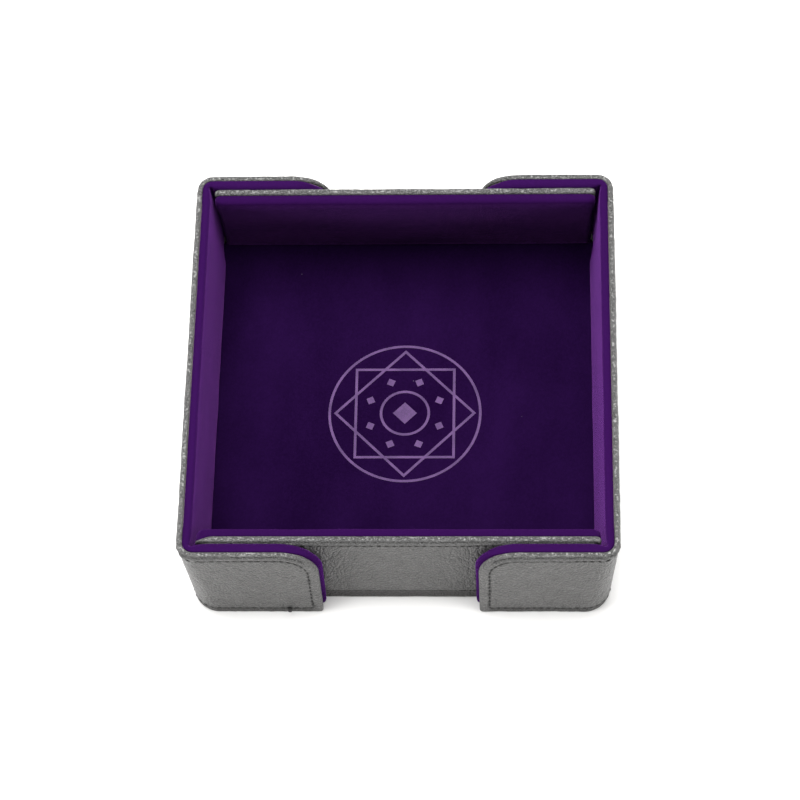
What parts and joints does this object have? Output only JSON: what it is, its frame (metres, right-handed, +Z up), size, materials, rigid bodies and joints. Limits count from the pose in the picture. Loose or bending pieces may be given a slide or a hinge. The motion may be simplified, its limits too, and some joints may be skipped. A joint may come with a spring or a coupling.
{
  "type": "folding dice tray",
  "caption": "Square dice tray of velvet-lined leather panels with boards inside. Side walls fold out flat, and their corner flaps hold the end walls by magnets.",
  "frame": {"origin": "on the table, under the middle of the tray", "axes": "+Z up, +Y to the back, +X to the right; the walls with corner flaps are the left and right ones"},
  "size_m": [0.19, 0.1986, 0.0522],
  "materials": {
    "grey_leather": "pebbled satin",
    "purple_velvet": "short pile",
    "ornament_print": "pressed pile",
    "thread": "matte",
    "board": "matte",
    "magnet": "plated"
  },
  "bodies": {
    "base": {"base_leather": "grey_leather", "base_board": "board", "base_velvet": "purple_velvet", "base_ornament": "ornament_print", "left_hinge_leather": "grey_leather", "right_hinge_leather": "grey_leather", "front_hinge_leather": "grey_leather", "back_hinge_leather": "grey_leather"},
    "left_wall": {"left_wall_leather": "grey_leather", "left_wall_board": "board", "left_wall_velvet": "purple_velvet", "left_wall_stitching": "thread", "front_left_corner_leather": "grey_leather", "front_left_corner_velvet": "purple_velvet", "back_left_corner_leather": "grey_leather", "back_left_corner_velvet": "purple_velvet"},
    "right_wall": {"right_wall_leather": "grey_leather", "right_wall_board": "board", "right_wall_velvet": "purple_velvet", "right_wall_stitching": "thread", "front_right_corner_leather": "grey_leather", "front_right_corner_velvet": "purple_velvet", "back_right_corner_leather": "grey_leather", "back_right_corner_velvet": "purple_velvet"},
    "front_wall": {"front_wall_leather": "grey_leather", "front_wall_board": "board", "front_wall_velvet": "purple_velvet", "front_wall_stitching": "thread", "front_wall_magnets": "magnet"},
    "back_wall": {"back_wall_leather": "grey_leather", "back_wall_board": "board", "back_wall_velvet": "purple_velvet", "back_wall_stitching": "thread", "back_wall_magnets": "magnet"},
    "front_left_flap": {"front_left_flap_leather": "grey_leather", "front_left_flap_board": "board", "front_left_flap_velvet": "purple_velvet", "front_left_flap_stitching": "thread", "front_left_flap_magnet": "magnet"},
    "front_right_flap": {"front_right_flap_leather": "grey_leather", "front_right_flap_board": "board", "front_right_flap_velvet": "purple_velvet", "front_right_flap_stitching": "thread", "front_right_flap_magnet": "magnet"},
    "back_left_flap": {"back_left_flap_leather": "grey_leather", "back_left_flap_board": "board", "back_left_flap_velvet": "purple_velvet", "back_left_flap_stitching": "thread", "back_left_flap_magnet": "magnet"},
    "back_right_flap": {"back_right_flap_leather": "grey_leather", "back_right_flap_board": "board", "back_right_flap_velvet": "purple_velvet", "back_right_flap_stitching": "thread", "back_right_flap_magnet": "magnet"}
  },
  "joints": [
    {"name": "left_wall_fold", "type": "hinge", "parent": "base", "child": "left_wall", "pos_m": [-0.092, 0, 0], "axis": [0, -1, 0], "range_deg": [0, 86], "deforming": ["left_hinge_leather"]},
    {"name": "right_wall_fold", "type": "hinge", "parent": "base", "child": "right_wall", "pos_m": [0.092, 0, 0], "axis": [0, 1, 0], "range_deg": [0, 86], "deforming": ["right_hinge_leather"]},
    {"name": "front_wall_fold", "type": "hinge", "parent": "base", "child": "front_wall", "pos_m": [0, -0.08539, 0.00533], "axis": [-1, 0, 0], "range_deg": [0, 85], "deforming": ["front_hinge_leather"]},
    {"name": "back_wall_fold", "type": "hinge", "parent": "base", "child": "back_wall", "pos_m": [0, 0.08539, 0.00533], "axis": [1, 0, 0], "range_deg": [0, 85], "deforming": ["back_hinge_leather"]},
    {"name": "front_left_flap_swing", "type": "hinge", "parent": "left_wall", "child": "front_left_flap", "pos_m": [-0.09, -0.09732, 0], "axis": [0.0574, -0.0731, -0.9957], "range_deg": [0, 90], "deforming": ["front_left_corner_leather", "front_left_corner_velvet"]},
    {"name": "front_right_flap_swing", "type": "hinge", "parent": "right_wall", "child": "front_right_flap", "pos_m": [0.09, -0.09732, 0], "axis": [0.0574, 0.0731, 0.9957], "range_deg": [0, 90], "deforming": ["front_right_corner_leather", "front_right_corner_velvet"]},
    {"name": "back_left_flap_swing", "type": "hinge", "parent": "left_wall", "child": "back_left_flap", "pos_m": [-0.09, 0.09732, 0], "axis": [-0.0574, -0.0731, 0.9957], "range_deg": [0, 90], "deforming": ["back_left_corner_leather", "back_left_corner_velvet"]},
    {"name": "back_right_flap_swing", "type": "hinge", "parent": "right_wall", "child": "back_right_flap", "pos_m": [0.09, 0.09732, 0], "axis": [-0.0574, 0.0731, -0.9957], "range_deg": [0, 90], "deforming": ["back_right_corner_leather", "back_right_corner_velvet"]}
  ]
}
